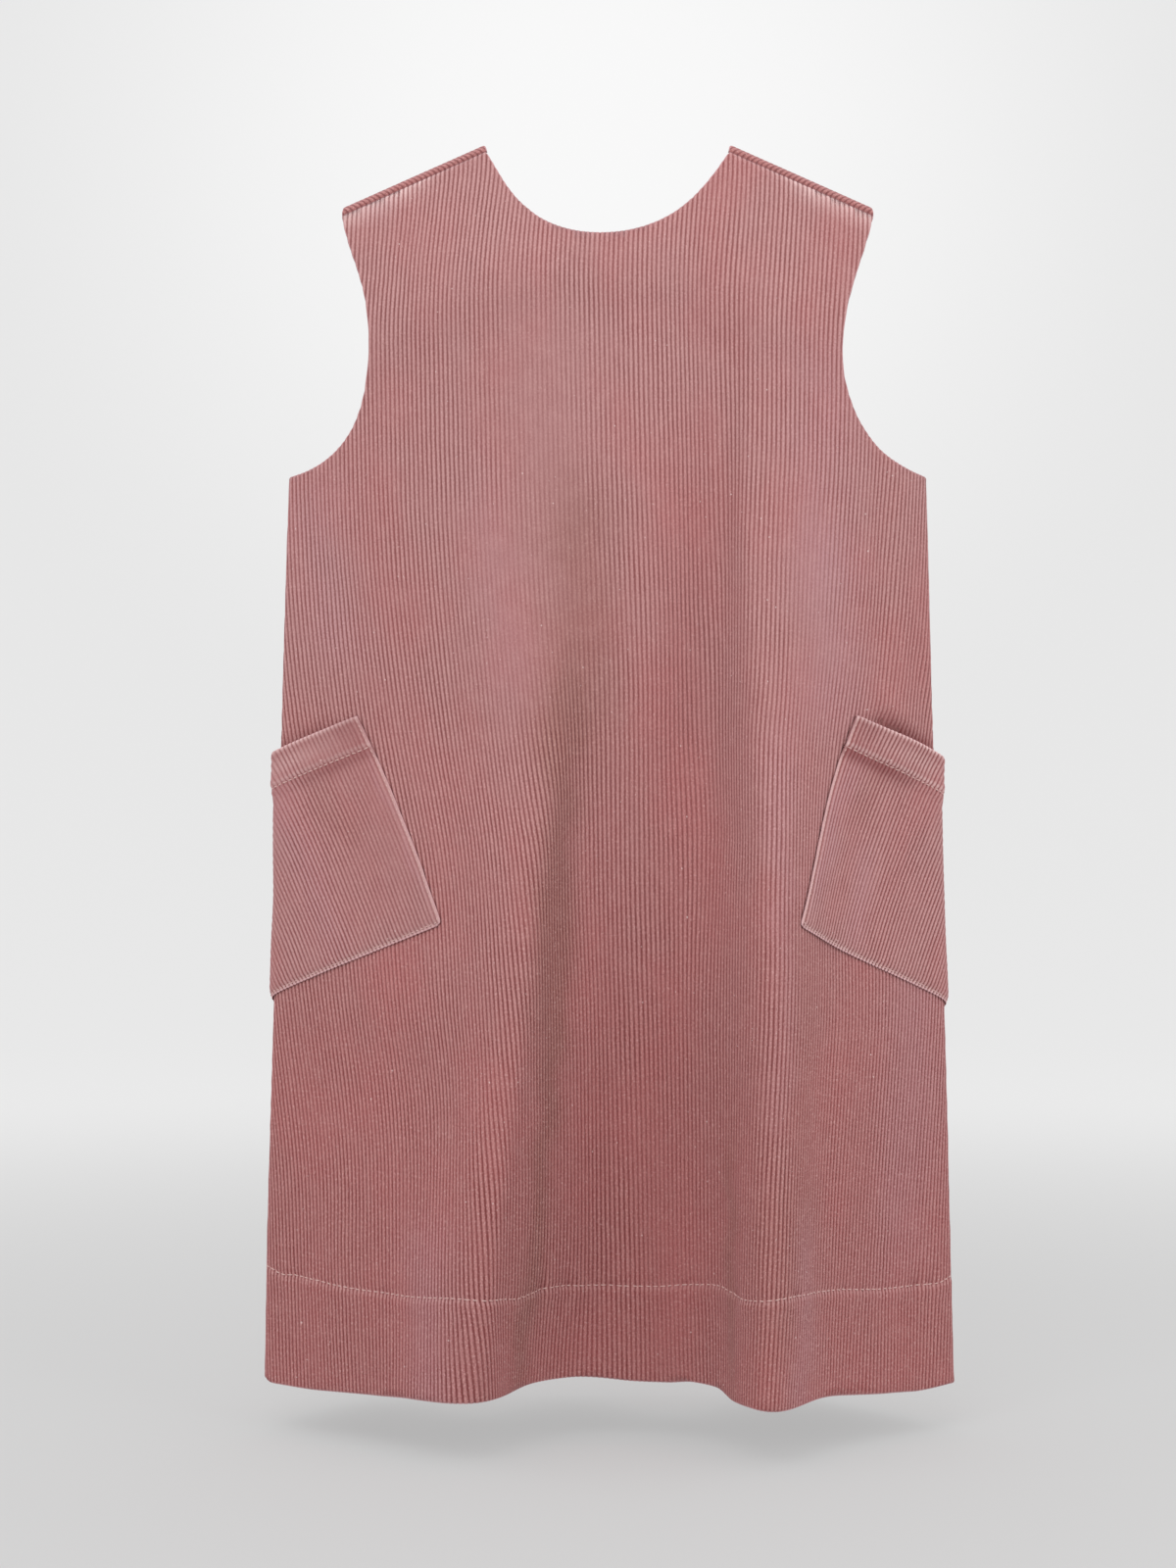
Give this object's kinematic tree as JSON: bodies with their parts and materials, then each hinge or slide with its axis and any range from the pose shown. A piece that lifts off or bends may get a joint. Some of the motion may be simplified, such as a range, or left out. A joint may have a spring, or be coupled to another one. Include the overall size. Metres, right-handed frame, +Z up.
{
  "type": "pinafore dress",
  "caption": "Child's sleeveless A-line pinafore dress in corduroy, hollow and filled out, with a scoop neck and slanted patch pockets wrapped round the sides.",
  "frame": {"origin": "midway between the tops of the two shoulders at the neck, level with them, where the wearer carries the dress", "axes": "+Z up, -Y out of the front, +X towards the viewer's right as the front is seen"},
  "size_m": [0.3662, 0.1956, 0.6559],
  "materials": {
    "corduroy": "wide-wale cotton corduroy, dusty pink",
    "button": "satin",
    "thread": "polyester thread"
  },
  "bodies": {
    "root": {"front_panel": "corduroy", "back_panel": "corduroy", "left_pocket": "corduroy", "right_pocket": "corduroy", "neck_button": "button", "button_loop": "thread"}
  },
  "joints": []
}
